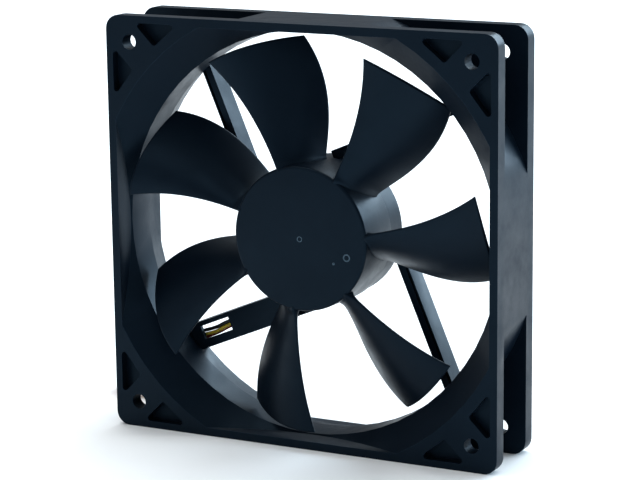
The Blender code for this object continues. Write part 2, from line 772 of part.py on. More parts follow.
def tail_spot(share):
    """Point on the lead's last stretch: two equal arcs from the hank's lowest back run to its middle."""
    arc = (TAIL_LENGTH**2 + HANK_FOLD**2) / (4 * HANK_FOLD)
    aside = arc - math.sqrt(arc**2 - (TAIL_LENGTH * min(share, 1 - share))**2)
    inwards = aside if share <= 0.5 else HANK_FOLD - aside
    return Vector((
        HANK_CENTRE[0] + HANK_STRAIGHT / 2 - TAIL_LENGTH * share,
        HANK_CENTRE[1] + HANK_FOLD - inwards,
        HANK_BOTTOM + LEAD_DIAMETER / 2 + TAIL_RISE * (3 * share**2 - 2 * share**3),
    ))


def round_ended(radius):
    """Outline of the hank at a distance from the middle line of its two folds."""
    return rounded(rectangle(HANK_STRAIGHT + 2 * radius, 2 * radius), radius - 0.02 * MM, 12)


def build_lead(cover, tie_black, white_plastic, tin):
    """The three wires as one lead: down to the floor, into a tied hank, to a 3-pin plug."""
    route = [tuple(v * MM for v in spot) for spot in LEAD_ROUTE]
    tube_curve("lead_bundle", smooth_route(route, 2), LEAD_DIAMETER, cover)

    margin = LEAD_DIAMETER / 2 + 0.1 * MM
    outlines = [round_ended(HANK_FOLD + margin), round_ended(HANK_FOLD - margin)]
    hank = plate_mesh(outlines, HANK_BOTTOM, HANK_TOP)
    hank.transform(Matrix.Translation((*HANK_CENTRE, 0)))
    place("lead_hank", hank, cover)

    inside = (2 * margin + 2 * GAP, HANK_TOP - HANK_BOTTOM + 2 * GAP)
    band = 0.4 * MM
    tie_outer = rounded(rectangle(inside[0] + 2 * band, inside[1] + 2 * band), 1.2 * MM, 3)
    tie_inner = rounded(rectangle(*inside), 0.5 * MM, 3)
    tie = plate_mesh([tie_outer, tie_inner], -1.5 * MM, 1.5 * MM)
    tie.transform(Matrix.Rotation(math.pi / 2, 4, "X"))
    tie.transform(Matrix.Rotation(math.pi / 2, 4, "Z"))
    front_run = HANK_CENTRE[1] - HANK_FOLD
    tie.transform(Matrix.Translation((HANK_CENTRE[0], front_run, (HANK_TOP + HANK_BOTTOM) / 2)))
    place("hank_tie", tie, tie_black)

    clear_of_hank = 0.46
    steps = 5
    shares = [clear_of_hank + (1 - clear_of_hank) * k / steps for k in range(steps + 1)]
    tube_curve("lead_tail", [tail_spot(share) for share in shares], LEAD_DIAMETER, cover)
    end = tail_spot(1)
    plug = Matrix.Translation((end.x - GAP, end.y, FLOOR))
    build_plug(plug, white_plastic, tin)


def build_plug(frame, white_plastic, tin):
    """Three-way socket plug lying flat, its mouth towards -X of the frame, with two ribs."""
    length, width, height = 11.5 * MM, 7.8 * MM, 5.8 * MM
    plug = place("plug_housing", box_mesh((-length, -width / 2, 0), (0, width / 2, height)), white_plastic)
    ribs = [box_mesh((-length, side * 2.2 * MM - 0.5 * MM, height - 0.5 * MM),
                     (-0.4 * length, side * 2.2 * MM + 0.5 * MM, height + 0.8 * MM)) for side in (-1, 1)]
    combine(plug, merged_mesh(ribs), "UNION")
    pitch = 2.54 * MM
    hole = 1.7 * MM
    middle = 2.9 * MM
    tunnels = []
    for k in range(3):
        y = (k - 1) * pitch
        tunnels.append(box_mesh((-length - MM, y - hole / 2, middle - hole / 2),
                                (MM, y + hole / 2, middle + hole / 2)))
        clip = box_mesh((-length + 0.8 * MM, y - 0.5 * MM, middle - 0.5 * MM),
                        (-0.8 * MM, y + 0.5 * MM, middle + 0.5 * MM))
        clip.transform(frame)
        place(f"plug_terminal_{k + 1}", clip, tin)
    combine(plug, merged_mesh(tunnels), "DIFFERENCE")
    plug.data.transform(frame)


# ---------------------------------------------------------------- bearing tube and label

def build_bearing_tube(brass):
    bore = BEARING_RADIUS + GAP
    shoulder = 3 * MM
    rear_stop = REAR_BEARING + BEARING_WIDTH / 2 + GAP
    front_stop = FRONT_BEARING - BEARING_WIDTH / 2 - GAP
    top = FRONT_BEARING + BEARING_WIDTH / 2 + GAP
    bottom = -11.7 * MM
    place("bearing_tube", turned_mesh([
        (BEARING_TUBE_RADIUS, top),
        (BEARING_TUBE_RADIUS, bottom),
        (bore, bottom),
        (bore, rear_stop),
        (shoulder, rear_stop),
        (shoulder, front_stop),
        (bore, front_stop),
        (bore, top),
    ]), brass, parent=LYING)


def build_label(paper):
    label = cylinder_mesh((0, 0), LABEL_RADIUS, LABEL_FRONT - 0.25 * MM, LABEL_FRONT, FINE)
    place("rear_label", label, paper, parent=LYING)


# ---------------------------------------------------------------- the whole fan

def joint_empty(name):
    made = bpy.data.objects.new(name, None)
    PARTS.objects.link(made)
    made.parent = LYING
    return made


def build_fan():
    dark_plastic = material("dark_plastic", (0.021, 0.026, 0.036), 0.42)
    hub_plastic = material("hub_plastic", (0.023, 0.029, 0.040), 0.45)
    steel = material("steel", (0.55, 0.55, 0.56), 0.3, 1)
    zinc_steel = material("zinc_steel", (0.42, 0.43, 0.45), 0.4, 1)
    ferrite = material("ferrite", (0.035, 0.035, 0.037), 0.6)
    lamination = material("lamination", (0.25, 0.25, 0.26), 0.45, 1)
    insulator = material("insulator", (0.03, 0.03, 0.03), 0.5)
    copper = material("copper", (0.60, 0.25, 0.10), 0.35, 1)
    brass = material("brass", (0.62, 0.47, 0.20), 0.35, 1)
    board_green = material("board_green", (0.02, 0.12, 0.05), 0.4)
    chip_black = material("chip_black", (0.02, 0.02, 0.02), 0.5)
    can_metal = material("can_metal", (0.65, 0.66, 0.68), 0.3, 1)
    resistor_body = material("resistor_body", (0.02, 0.02, 0.025), 0.4)
    cage_plastic = material("cage_plastic", (0.35, 0.25, 0.12), 0.5)
    label_paper = material("label_paper", (0.45, 0.47, 0.50), 0.5)
    lead_cover = material("lead_cover", (0.03, 0.03, 0.03), 0.5)
    white_plastic = material("white_plastic", (0.8, 0.8, 0.76), 0.4)
    tin = material("tin", (0.7, 0.7, 0.7), 0.3, 1)
    wire_colours = {
        "lead_black": material("wire_black", (0.02, 0.02, 0.02), 0.45),
        "lead_yellow": material("wire_yellow", (0.65, 0.48, 0.03), 0.45),
        "lead_red": material("wire_red", (0.50, 0.02, 0.02), 0.45),
    }

    build_housing(dark_plastic)
    build_impeller(hub_plastic)
    build_rotor(zinc_steel, ferrite, steel)
    build_bearing("front", FRONT_BEARING, steel, steel, cage_plastic)
    build_bearing("rear", REAR_BEARING, steel, steel, cage_plastic)
    build_bearing_tube(brass)
    build_stator(lamination, insulator, copper)
    build_circuit(board_green, chip_black, can_metal, resistor_body, brass)
    build_label(label_paper)
    build_wires(wire_colours)
    build_lead(lead_cover, insulator, white_plastic, tin)


clear_scene()
PARTS = new_collection("case_fan")
CUTTERS = new_collection("cutters")
LYING = bpy.data.objects.new("lying_frame", None)
PARTS.objects.link(LYING)
LYING.rotation_euler = (math.pi / 2, 0, 0)
ROTOR = joint_empty("rotor_axis")
bpy.context.view_layer.update()
build_fan()
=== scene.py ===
"""Looks of a 120 mm case fan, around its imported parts.

Sizes are in millimetres where they carry the name MM, and everything in the scene is
in metres: X to the right, Z up, the intake facing -Y, the rotor turning about Y.
"""

import json
import math

import bmesh
import bpy
import numpy as np
from mathutils import Matrix, Vector


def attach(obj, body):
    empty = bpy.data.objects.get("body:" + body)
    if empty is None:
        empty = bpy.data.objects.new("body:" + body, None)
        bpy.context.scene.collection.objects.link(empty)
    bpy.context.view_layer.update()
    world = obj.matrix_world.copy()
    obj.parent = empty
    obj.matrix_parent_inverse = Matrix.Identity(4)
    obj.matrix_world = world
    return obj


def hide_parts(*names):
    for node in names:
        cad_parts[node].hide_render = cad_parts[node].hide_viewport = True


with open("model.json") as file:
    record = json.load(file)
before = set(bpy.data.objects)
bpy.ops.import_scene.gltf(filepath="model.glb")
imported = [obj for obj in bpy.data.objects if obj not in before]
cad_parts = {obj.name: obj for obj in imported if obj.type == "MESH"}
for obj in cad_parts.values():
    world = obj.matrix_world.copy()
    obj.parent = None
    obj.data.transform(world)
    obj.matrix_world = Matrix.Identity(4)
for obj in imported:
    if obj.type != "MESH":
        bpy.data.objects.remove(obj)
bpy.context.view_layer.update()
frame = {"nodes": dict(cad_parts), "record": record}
NODES = frame["nodes"]

MM = 0.001
FLOOR = -60 * MM

# Hub and blades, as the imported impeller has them; heights are towards the intake
BLADES = 7
HUB_FACE_RADIUS = 20.5 * MM
HUB_REAR_RADIUS = 20.9 * MM
HUB_FACE = 11 * MM
HUB_REAR = -4.4 * MM
HUB_WALL = 1.5 * MM
HUB_EDGE = 0.8 * MM
TIP_RADIUS = 55.3 * MM
FRONT_EDGE_ANGLES = (111.0, 114.7, 120.1)
REAR_EDGE_ANGLES = (86.2, 86.8, 94.0)
FRONT_EDGE_HEIGHTS = (10.2 * MM, 9.8 * MM, 11.0 * MM)
REAR_EDGE_HEIGHTS = (-2.4 * MM, -3.3 * MM, -0.9 * MM)
BLADE_BULGE = (0.7, 0.9, 1.1)
BLADE_THICKNESS = (1.9 * MM, 1.6 * MM, 1.4 * MM)

# The free lead: three wires twisted together, down to the floor and into a tied hank
WIRE_RADIUS = 0.55 * MM
LEAD_DIAMETER = 2.4 * MM
UNTWISTED_AT_EXIT = 6 * MM
UNTWISTED_AT_PLUG = 5.2 * MM
LEAD_ROUTE = [
    (-51.5, 12.9, -40.0), (-51.5, 15.6, -40.2), (-51.5, 18.1, -40.7),
    (-51.6, 20.3, -41.4), (-51.8, 22.2, -42.4), (-52.2, 23.8, -43.5),
    (-52.6, 25.2, -44.8), (-53.3, 26.4, -46.2), (-54.1, 27.4, -47.5),
    (-55.2, 28.1, -48.9), (-56.6, 28.7, -50.2), (-58.3, 29.1, -51.4),
    (-60.3, 29.3, -52.4),
]
HANK_CENTRE = (-61.0, 22.2)
HANK_STRAIGHT = 20.8
HANK_FOLD = 7.2
TOP_LAYER = -53.2
LAYER_STEP = 2.45
HANK_STARTS = 12.0
LAYER_SHIFT = (10.5, 0.0)
TAIL_LENGTH = 13.4
TAIL_RISE = 1.0
TWIST_LENGTH = 22 * MM
EXIT_LANE = 1.2 * MM
PLUG_LANE = 2.54 * MM
STRUT_SLANT = math.radians(-67.25)


# ---------------------------------------------------------------- surfaces

def mesh_object(name, points, faces, smooth=True):
    """Object with its place in its mesh, from arrays of points and of faces."""
    mesh = bpy.data.meshes.new(name)
    mesh.from_pydata(points, [], faces)
    mesh.update()
    if smooth:
        mesh.shade_smooth()
    made = bpy.data.objects.new(name, mesh)
    bpy.context.scene.collection.objects.link(made)
    return made


def grid_faces(rows, columns, wrap_rows=False, wrap_columns=False, start=0):
    """Quads between neighbours of a rows x columns grid of points, numbered row by row."""
    i = np.arange(rows if wrap_rows else rows - 1)[:, None]
    j = np.arange(columns if wrap_columns else columns - 1)[None, :]
    after_i = (i + 1) % rows
    after_j = (j + 1) % columns
    corners = [i * columns + j, i * columns + after_j, after_i * columns + after_j, after_i * columns + j]
    corners = [start + c for c in corners]
    return np.stack([np.broadcast_to(c, (i.size, j.size)).ravel() for c in corners], axis=1).tolist()


def cap_faces(first, count):
    """Faces that close a loop: each joins a step of one side to its opposite on the other."""
    k = np.arange(1, count // 2 - 1)
    quads = first + np.stack([k, k + 1, count - k - 1, count - k], axis=1)
    half = count // 2
    ends = [[first, first + 1, first + count - 1], [first + half - 1, first + half, first + half + 1]]
    return quads.tolist() + ends


def through(low, middle, high, t):
    """Parabola that has those values at t = 0, one half and 1."""
    return low * (1 - t) * (1 - 2 * t) + 4 * middle * t * (1 - t) + high * t * (2 * t - 1)


def eased(t):
    """0 before t = 0 and 1 after t = 1, with a smooth step, 3t^2 - 2t^3, in between."""
    t = np.clip(t, 0, 1)
    return t * t * (3 - 2 * t)


def stand_up(x, y, height):
    """Points drawn lying on the rear face, with heights towards the intake, as world points."""
    return np.stack([x, -height, y], axis=-1)


def outwards(made):
    """Turns every face of a closed mesh outwards."""
    shape = bmesh.new()
    shape.from_mesh(made.data)
    bmesh.ops.remove_doubles(shape, verts=shape.verts, dist=1e-7)
    bmesh.ops.recalc_face_normals(shape, faces=shape.faces)
    shape.to_mesh(made.data)
    shape.free()
    return made


# ---------------------------------------------------------------- lead

def spline(points, steps):
    """Catmull-Rom curve: each span is the cubic that leaves and meets its ends along their neighbours."""
    p = np.array(points, float)
    p = np.vstack([2 * p[0] - p[1], p, 2 * p[-1] - p[-2]])
    t = (np.arange(steps) / steps)[:, None]
    spans = [
        0.5 * (2 * b + (c - a) * t + (2 * a - 5 * b + 4 * c - d) * t**2 + (3 * b - a - 3 * c + d) * t**3)
        for a, b, c, d in zip(p, p[1:], p[2:], p[3:])
    ]
    return np.vstack(spans + [p[-2:-1]])


def one_turn():
    """One turn of the hank in steps of 0.25 mm: back run, fold, front run, fold.

    Returns how far along each point lies, and the points in the plane of the floor, about
    the middle of the hank: straight runs joined by half circles.
    """
    fold = math.pi * HANK_FOLD
    perimeter = 2 * (HANK_STRAIGHT + fold)
    along = np.linspace(0, perimeter, int(perimeter / 0.25))
    half = HANK_STRAIGHT / 2
    second = along >= perimeter / 2
    part_way = np.where(second, along - perimeter / 2, along)
    turned = np.clip((part_way - HANK_STRAIGHT) / HANK_FOLD, 0, None)
    x = half - np.minimum(part_way, HANK_STRAIGHT) - HANK_FOLD * np.sin(turned)
    y = HANK_FOLD * np.cos(turned)
    flip = np.where(second, -1, 1)
    return along, np.stack([x * flip, y * flip], axis=1)


def hank_points():
    """Three turns of the hank from the top layer down, then the stretch in to the plug.

    Each turn sinks by one layer just before it is complete, with the smooth step. The last
    stretch is two equal arcs from the back run to the hank's middle, and rises to the plug's height.
    """
    turn, outline = one_turn()
    perimeter = turn[-1]
    along = np.arange(HANK_STARTS, 3 * perimeter, 0.5)
    level = np.zeros(len(along))
    for k in (1, 2):
        done = HANK_STARTS + k * perimeter
        start, stop = done - LAYER_SHIFT[0], done - LAYER_SHIFT[1]
        level += eased((along - start) / (stop - start))
    here = along % perimeter
    x, y = (np.interp(here, turn, outline[:, k]) for k in (0, 1))
    turns = np.stack([x, y, TOP_LAYER - LAYER_STEP * level], axis=1)

    share = np.arange(0, 33) / 32
    arc = (TAIL_LENGTH**2 + HANK_FOLD**2) / (4 * HANK_FOLD)
    aside = arc - np.sqrt(arc**2 - (TAIL_LENGTH * np.minimum(share, 1 - share)) ** 2)
    across = np.where(share <= 0.5, HANK_FOLD - aside, aside)
    lowest = TOP_LAYER - 2 * LAYER_STEP
    tail = [HANK_STRAIGHT / 2 - TAIL_LENGTH * share, across, lowest + TAIL_RISE * eased(share)]
    return np.vstack([turns, np.stack(tail, axis=1)])


def lead_path():
    """The lead's centre line in metres, evenly spaced along its length."""
    hank = hank_points() + np.array([*HANK_CENTRE, 0])
    rough = np.vstack([spline(LEAD_ROUTE + [tuple(hank[0])], 8)[:-1], hank]) * MM
    along = np.concatenate([[0], np.cumsum(np.linalg.norm(np.diff(rough, axis=0), axis=1))])
    even = np.arange(0, along[-1], 0.5 * MM)
    even = np.append(even[:-1], along[-1])
    return np.stack([np.interp(even, along, rough[:, k]) for k in range(3)], axis=1)


def carried_frame(path, first):
    """Two directions across a path at each point, carried along it with no twist of their own."""
    tangents = np.gradient(path, axis=0)
    tangents /= np.linalg.norm(tangents, axis=1)[:, None]
    across = np.array(first, float)
    normals = []
    for tangent in tangents:
        across = across - tangent * (across @ tangent)
        across /= np.linalg.norm(across)
        normals.append(across)
    normals = np.array(normals)
    return tangents, normals, np.cross(tangents, normals)


def tube_points(path, radius, sides, first):
    """Rings of a tube: path + radius (cos a N + sin a B) for a all the way round."""
    _, normal, binormal = carried_frame(path, first)
    a = np.linspace(0, 2 * np.pi, sides, endpoint=False)[None, :, None]
    return path[:, None] + radius * (np.cos(a) * normal[:, None] + np.sin(a) * binormal[:, None])


def build_lead(wire_finishes):
    """Each wire winds round the lead's line, and leaves its turn for its own lane at each end."""
    path = lead_path()
    _, normal, binormal = carried_frame(path, (0, 0, 1))
    step = np.linalg.norm(np.diff(path, axis=0), axis=1)
    run = np.concatenate([[0], np.cumsum(step)])
    total = run[-1]
    leaving = 1 - eased(run / UNTWISTED_AT_EXIT)[:, None]
    arriving = eased((run - (total - UNTWISTED_AT_PLUG)) / UNTWISTED_AT_PLUG)[:, None]
    twist_radius = LEAD_DIAMETER / 2 - WIRE_RADIUS
    quarter = 3
    away = STRUT_SLANT + quarter * math.pi / 2 + math.pi / 2
    exit_side = np.array([math.cos(away), 0, math.sin(away)])
    plug_side = np.array([0, -1, 0])
    sides = 10
    points, faces, slots = [], [], []
    for k in range(3):
        phase = (2 * np.pi * (run / TWIST_LENGTH + k / 3))[:, None]
        wound = twist_radius * (np.cos(phase) * normal + np.sin(phase) * binormal)
        middle = 1 - leaving - arriving
        lane = k - 1
        line = path + wound * middle + exit_side * EXIT_LANE * lane * leaving
        line = line + plug_side * PLUG_LANE * lane * arriving
        rings = tube_points(line, WIRE_RADIUS, sides, (0.3, 0.2, 1))
        start = sum(len(p) for p in points)
        points.append(rings.reshape(-1, 3))
        made = grid_faces(len(line), sides, wrap_columns=True, start=start)
        last = start + (len(line) - 1) * sides
        ends = cap_faces(start, sides) + cap_faces(last, sides)
        faces += made + ends
        slots += [k] * (len(made) + len(ends))
    lead = mesh_object("lead", np.vstack(points), faces)
    for finish in wire_finishes:
        lead.data.materials.append(finish)
    lead.data.polygons.foreach_set("material_index", slots)
    outwards(lead)
    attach(lead, "frame")
    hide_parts("lead_bundle", "lead_hank", "lead_tail")
    print("lead length", round(float(total), 4))
    return lead


def build_channel_wires(wire_finishes):
    """The three wires inside the frame's channel, slack where the strut's window shows them.

    Each is a tube on a smooth curve through points given along the strut, away from the
    rotor's axis and by height, in millimetres.
    """
    slant = STRUT_SLANT + 3 * math.pi / 2
    bends = {
        "black": (-1, [(42.5, 15.75, -8.5), (48.0, 16.2, -8.5), (52.5, 16.0, -9.0)]),
        "yellow": (0, [(42.5, 16.75, -8.3), (48.2, 17.35, -8.2), (52.5, 17.15, -8.8)]),
        "red": (1, [(42.5, 17.3, -9.6), (48.2, 17.8, -9.6), (52.5, 18.0, -9.4)]),
    }
    for (colour, (side, slack)), finish in zip(bends.items(), wire_finishes):
        lane, end = 17 + 1.4 * side, 17 + 1.2 * side
        route = [
            (-3, lane - 3, -7.7), (0, lane - 2.7, -8.7), (4, lane - 1.6, -9.3), (9, lane, -9.3),
            (30, lane, -9.3), *slack, (57, (lane + end) / 2, -9.3), (60.4, end, -9.5),
            (62.2, end, -10.1), (63, end, -11.3), (63, end, -12.2),
        ]
        q, p, height = spline(route, 8).T * MM
        x = q * math.cos(slant) - p * math.sin(slant)
        y = q * math.sin(slant) + p * math.cos(slant)
        sides = 12
        rings = tube_points(stand_up(x, y, height), WIRE_RADIUS, sides, (0.1, 1, 0.2))
        last = (len(rings) - 1) * sides
        faces = grid_faces(len(rings), sides, wrap_columns=True)
        faces += cap_faces(0, sides) + cap_faces(last, sides)
        wire = mesh_object("channel_wire_" + colour, rings.reshape(-1, 3), faces)
        wire.data.materials.append(finish)
        outwards(wire)
        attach(wire, "frame")
        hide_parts("lead_" + colour)


# ---------------------------------------------------------------- impeller

def blade_points(turn):
    """Blade surface. Across t from root to tip the radius runs straight out; along the chord u
    the angle and height run from the front edge to the rear edge with a bulge b u (1 - u).
    The skin stands off that sheet by half the thickness, (1 + sin pi u) / 2 of it, and falls
    to the sheet in a quarter circle at the edges and at the tip; a fillet widens the root.
    """
    root = HUB_FACE_RADIUS - 0.7 * MM
    spans = np.concatenate([np.linspace(0, 0.12, 9)[:-1], np.linspace(0.12, 0.97, 26)[:-1],
                            1 - 0.03 * np.cos(np.linspace(0, np.pi / 2, 8))])
    half_count = 44
    phi = np.linspace(0, 2 * np.pi, 2 * half_count, endpoint=False)
    u = ((1 - np.cos(phi)) / 2)[None, :]
    side = np.sign(np.round(np.sin(phi), 9))[None, :]
    t = spans[:, None]
    radius = root + (TIP_RADIUS - root) * t
    front = np.radians(through(*FRONT_EDGE_ANGLES, t))
    rear = np.radians(through(*REAR_EDGE_ANGLES, t))
    front_height = through(*FRONT_EDGE_HEIGHTS, t)
    rear_height = through(*REAR_EDGE_HEIGHTS, t)
    bulge = through(*BLADE_BULGE, t) * (front_height - rear_height)
    thickness = through(*BLADE_THICKNESS, t)
    angle = front + (rear - front) * u
    height = front_height + (rear_height - front_height) * u + bulge * u * (1 - u)
    along = radius * (rear - front)
    drop = rear_height - front_height + bulge * (1 - 2 * u)
    lean = np.hypot(along, drop)
    to_edge = np.minimum(u, 1 - u) * np.hypot(along, rear_height - front_height)
    edge_round = thickness / 4
    edge = np.sqrt(np.clip(1 - np.clip(1 - to_edge / edge_round, 0, 1) ** 2, 0, 1))
    tip_round = 0.5 * MM
    tip = np.sqrt(np.clip(1 - np.clip(1 - (TIP_RADIUS - radius) / tip_round, 0, 0.97) ** 2, 0, 1))
    fillet = 0.8 * MM * np.exp(-np.clip(radius - HUB_REAR_RADIUS, 0, None) / (0.9 * MM))
    half = (thickness / 2 * (0.5 + 0.5 * np.sin(np.pi * u)) + fillet) * edge * tip * side
    turned = angle - half * drop / lean / radius + turn
    raised = height + half * along / lean
    return stand_up(radius * np.cos(turned), radius * np.sin(turned), raised)


def lathe_points(profile, segments):
    """A profile of (radius, height) turned once round the rotor's axis."""
    p = np.array(profile, float)
    a = np.linspace(0, 2 * np.pi, segments, endpoint=False)[None, :]
    radius, height = p[:, :1], p[:, 1:]
    return stand_up(radius * np.cos(a), radius * np.sin(a), height + 0 * a)


def corner(centre, radius, start, end, steps):
    """Quarter of a circle in a profile, from one angle to the other in degrees."""
    a = np.radians(np.linspace(start, end, steps + 1))
    return [(centre[0] + radius * math.cos(v), centre[1] + radius * math.sin(v)) for v in a]


def hub_profile():
    """Cup: face with a rounded rim, drafted side, rolled rear lip, then the inside to the boss."""
    shoulder = HUB_FACE_RADIUS - HUB_EDGE
    lip = 0.25 * MM
    tiny = 0.001 * MM
    outer = [(tiny, HUB_FACE), (shoulder * 0.5, HUB_FACE)]
    outer += corner((shoulder, HUB_FACE - HUB_EDGE), HUB_EDGE, 90, 0, 8)
    outer += corner((HUB_REAR_RADIUS - lip, HUB_REAR + lip), lip, 0, -90, 4)
    outer += corner((HUB_REAR_RADIUS - HUB_WALL + lip, HUB_REAR + lip), lip, -90, -180, 4)
    inner_face = HUB_FACE - HUB_WALL
    return outer + [
        (HUB_FACE_RADIUS - HUB_WALL, inner_face),
        (4 * MM, inner_face),
        (4 * MM, 6.9 * MM),
        (1.6 * MM, 6.9 * MM),
        (1.6 * MM, 10 * MM),
        (tiny, 10 * MM),
    ]


def build_impeller(finish):
    segments = 128
    hub = lathe_points(hub_profile(), segments)
    points = [hub.reshape(-1, 3)]
    faces = grid_faces(len(hub), segments, wrap_columns=True)
    for k in range(BLADES):
        blade = blade_points(-2 * math.pi * k / BLADES)
        start = sum(len(p) for p in points)
        rows, columns = blade.shape[:2]
        faces += grid_faces(rows, columns, wrap_columns=True, start=start)
        faces += cap_faces(start, columns) + cap_faces(start + (rows - 1) * columns, columns)
        points.append(blade.reshape(-1, 3))
    wheel = mesh_object("bladed_wheel", np.vstack(points), faces)
    wheel.data.materials.append(finish)
    outwards(wheel)
    wheel.data.set_sharp_from_angle(angle=math.radians(40))
    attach(wheel, "rotor")
    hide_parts("impeller")
    return wheel


def build_hub_marks(finish):
    """A raised ring and a dot off centre on the hub's face, and the gate's round scar in the middle."""
    for name, x, z, ring, thick in (("balance_ring", 14.5, -4.0, 0.9, 0.2),
                                    ("ejector_dot", 10.5, -6.0, 0.0, 0.4),
                                    ("gate_scar", 0.0, 0.0, 0.7, 0.12)):
        a = np.linspace(0, 2 * np.pi, 28, endpoint=False)[:, None]
        b = np.linspace(0, 2 * np.pi, 12, endpoint=False)[None, :]
        if ring:
            radius = (ring + thick * np.cos(b)) * MM
            height = HUB_FACE + 0.5 * thick * np.sin(b) * MM
            points = stand_up(x * MM + radius * np.cos(a), z * MM + radius * np.sin(a), height + 0 * a)
            faces = grid_faces(28, 12, True, True)
        else:
            rise = np.linspace(0.02, np.pi / 2, 6)[:, None]
            radius = thick * np.sin(rise) * MM
            height = HUB_FACE + (0.16 * np.cos(rise) - 0.02) * MM
            around = np.linspace(0, 2 * np.pi, 20, endpoint=False)[None, :]
            points = stand_up(x * MM + radius * np.cos(around), z * MM + radius * np.sin(around),
                              height + 0 * around)
            faces = grid_faces(6, 20, wrap_columns=True) + cap_faces(0, 20) + cap_faces(100, 20)
        mark = mesh_object(name, points.reshape(-1, 3), faces)
        mark.data.materials.append(finish)
        outwards(mark)
        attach(mark, "rotor")


# ---------------------------------------------------------------- frame

def build_frame_shell(body_finish, edge_highlight_finish):
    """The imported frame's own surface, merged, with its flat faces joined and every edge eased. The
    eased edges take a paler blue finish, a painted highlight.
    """
    made = NODES["housing"].copy()
    made.data = NODES["housing"].data.copy()
    made.name = "frame_shell"
    for key in list(made.keys()):
        del made[key]
    bpy.context.scene.collection.objects.link(made)
    made.parent = None
    shape = bmesh.new()
    shape.from_mesh(made.data)
    bmesh.ops.remove_doubles(shape, verts=shape.verts, dist=1e-6)
    bmesh.ops.dissolve_limit(shape, angle_limit=math.radians(0.6), verts=shape.verts, edges=shape.edges)
    shape.to_mesh(made.data)
    shape.free()
    made.data.materials.clear()
    made.data.materials.append(body_finish)
    made.data.materials.append(edge_highlight_finish)
    made.data.polygons.foreach_set("material_index", [0] * len(made.data.polygons))
    made.data.shade_smooth()
    made.data.set_sharp_from_angle(angle=math.radians(28))
    ease = made.modifiers.new("eased edges", "BEVEL")
    ease.width = 0.3 * MM
    ease.segments = 2
    ease.limit_method = "ANGLE"
    ease.angle_limit = math.radians(35)
    ease.use_clamp_overlap = True
    ease.harden_normals = True
    # The bevel's faces take slot 1, the paler finish painted on as an edge highlight.
    ease.material = 1
    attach(made, "frame")
    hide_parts("housing")
    return made


# ---------------------------------------------------------------- finishes

def finish_nodes(name):
    made = bpy.data.materials.new(name)
    made.use_nodes = True
    tree = made.node_tree
    shader = tree.nodes["Principled BSDF"]
    place = tree.nodes.new("ShaderNodeTexCoord")
    return made, tree, shader, place.outputs["Object"]


def noise(tree, where, scale, detail=3.0, rough=0.55):
    made = tree.nodes.new("ShaderNodeTexNoise")
    made.inputs["Scale"].default_value = scale
    made.inputs["Detail"].default_value = detail
    made.inputs["Roughness"].default_value = rough
    tree.links.new(where, made.inputs["Vector"])
    return made.outputs["Fac"]


def spread(tree, value, low, high, from_low=0.3, from_high=0.7):
    made = tree.nodes.new("ShaderNodeMapRange")
    made.inputs["From Min"].default_value = from_low
    made.inputs["From Max"].default_value = from_high
    made.inputs["To Min"].default_value = low
    made.inputs["To Max"].default_value = high
    tree.links.new(value, made.inputs["Value"])
    return made.outputs["Result"]


def blend_colours(tree, value, low, high):
    made = tree.nodes.new("ShaderNodeMix")
    made.data_type = "RGBA"
    made.inputs["A"].default_value = (*low, 1)
    made.inputs["B"].default_value = (*high, 1)
    tree.links.new(value, made.inputs["Factor"])
    return made.outputs["Result"]


def bumped(tree, shader, height, strength, distance):
    made = tree.nodes.new("ShaderNodeBump")
    made.inputs["Strength"].default_value = strength
    made.inputs["Distance"].default_value = distance
    tree.links.new(height, made.inputs["Height"])
    tree.links.new(made.outputs["Normal"], shader.inputs["Normal"])


def moulded(name, colour, paler, roughness, specular=0.35, tint=(1, 1, 1), grain=2600, relief=0.25):
    """Moulded plastic: fine spark-eroded grain, slow drifts of tone and rubbed, shinier patches."""
    made, tree, shader, where = finish_nodes(name)
    drift = noise(tree, where, 38, 4)
    tone = blend_colours(tree, spread(tree, drift, 0, 1), colour, paler)
    tree.links.new(tone, shader.inputs["Base Color"])
    rubbed = noise(tree, where, 120, 5, 0.65)
    tree.links.new(spread(tree, rubbed, roughness - 0.09, roughness + 0.09), shader.inputs["Roughness"])
    shader.inputs["Specular IOR Level"].default_value = specular
    shader.inputs["Specular Tint"].default_value = (*tint, 1)
    bumped(tree, shader, noise(tree, where, grain, 2), relief, 0.05 * MM)
    return made


def worked_metal(name, colour, roughness, scale=900, stretch=(1, 1, 1), relief=0.15):
    """Metal with fine working marks, stretched along the way it was cut or drawn."""
    made, tree, shader, where = finish_nodes(name)
    mapping = tree.nodes.new("ShaderNodeMapping")
    mapping.inputs["Scale"].default_value = stretch
    tree.links.new(where, mapping.inputs["Vector"])
    marks = noise(tree, mapping.outputs["Vector"], scale, 4)
    tone = blend_colours(tree, spread(tree, marks, 0, 1), tuple(0.8 * c for c in colour), colour)
    tree.links.new(tone, shader.inputs["Base Color"])
    shader.inputs["Metallic"].default_value = 1.0
    tree.links.new(spread(tree, marks, roughness - 0.07, roughness + 0.07), shader.inputs["Roughness"])
    bumped(tree, shader, marks, relief, 0.02 * MM)
    return made


